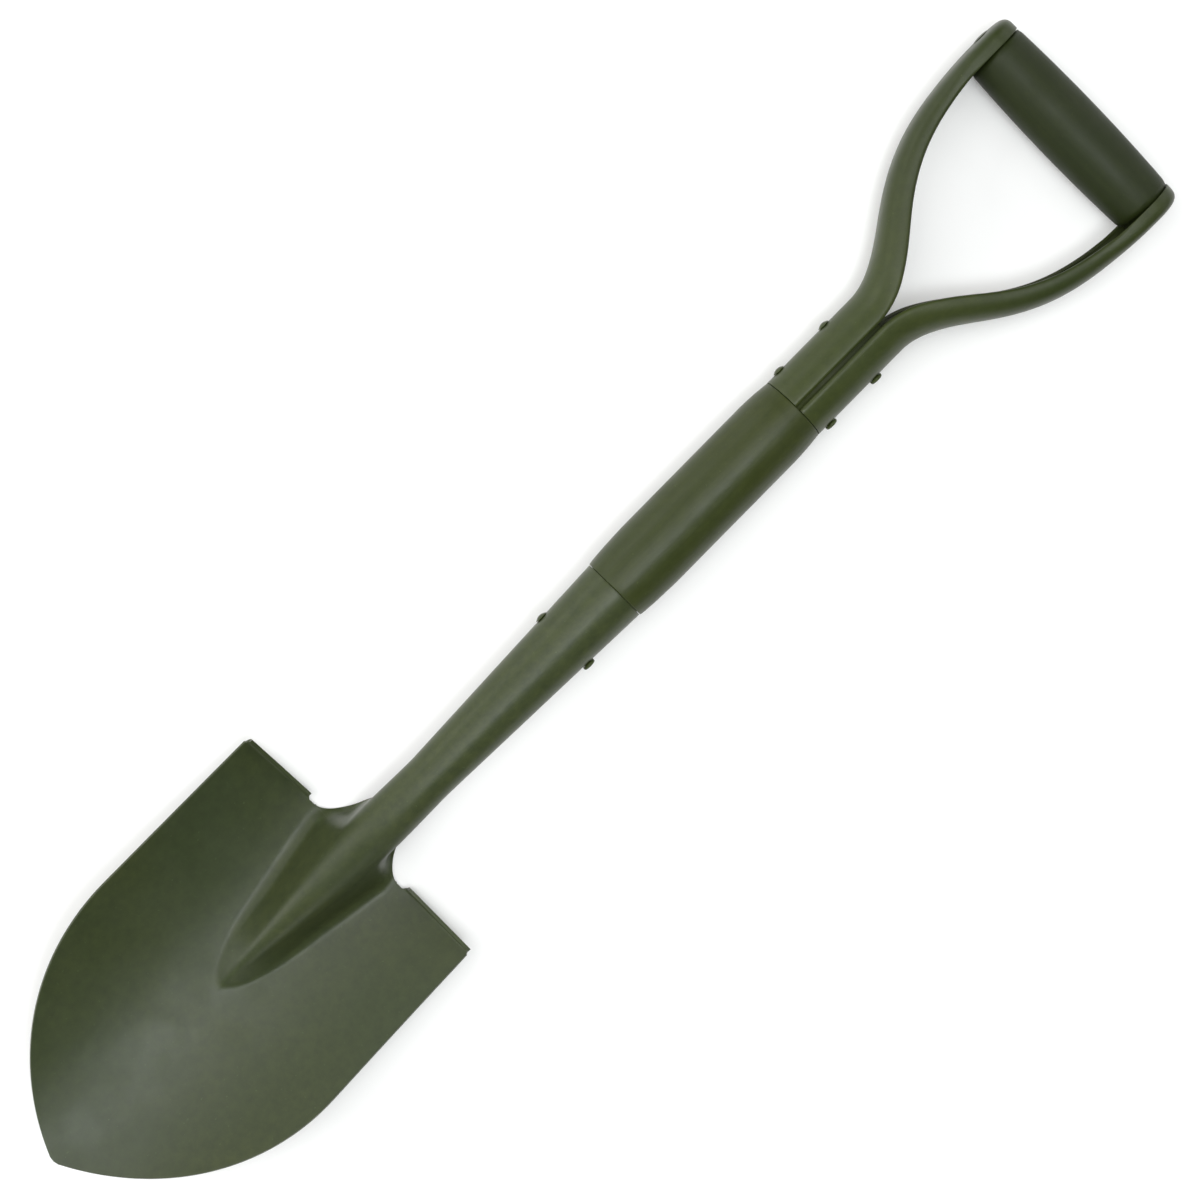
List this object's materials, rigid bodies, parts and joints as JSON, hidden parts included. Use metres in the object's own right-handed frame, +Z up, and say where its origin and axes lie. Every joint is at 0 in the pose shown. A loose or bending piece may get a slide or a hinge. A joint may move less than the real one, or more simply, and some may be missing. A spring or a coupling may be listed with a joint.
{
  "type": "detecting shovel",
  "caption": "Short digging shovel: dished round-point blade with turned steps, tapered socket, wooden shaft, riveted D-shaped handle with a barrel grip.",
  "frame": {"origin": "middle of the shovel's footprint on the floor, lying on its back", "axes": "+X along the shovel from the blade's tip toward the grip, +Y to the shovel's left, +Z up out of the blade's face; the shaft slopes 1.26 degrees down toward the grip"},
  "size_m": [0.7096, 0.1524, 0.0416],
  "materials": {
    "painted_steel": "satin olive paint",
    "painted_rivets": "satin olive paint",
    "painted_wood": "satin olive paint over wood"
  },
  "bodies": {
    "root": {"blade": "painted_steel", "left_arm": "painted_steel", "right_arm": "painted_steel", "socket_rivet": "painted_rivets", "lower_strap_rivet": "painted_rivets", "upper_strap_rivet": "painted_rivets", "grip_rivet": "painted_rivets", "shaft": "painted_wood", "grip": "painted_wood"}
  },
  "joints": []
}
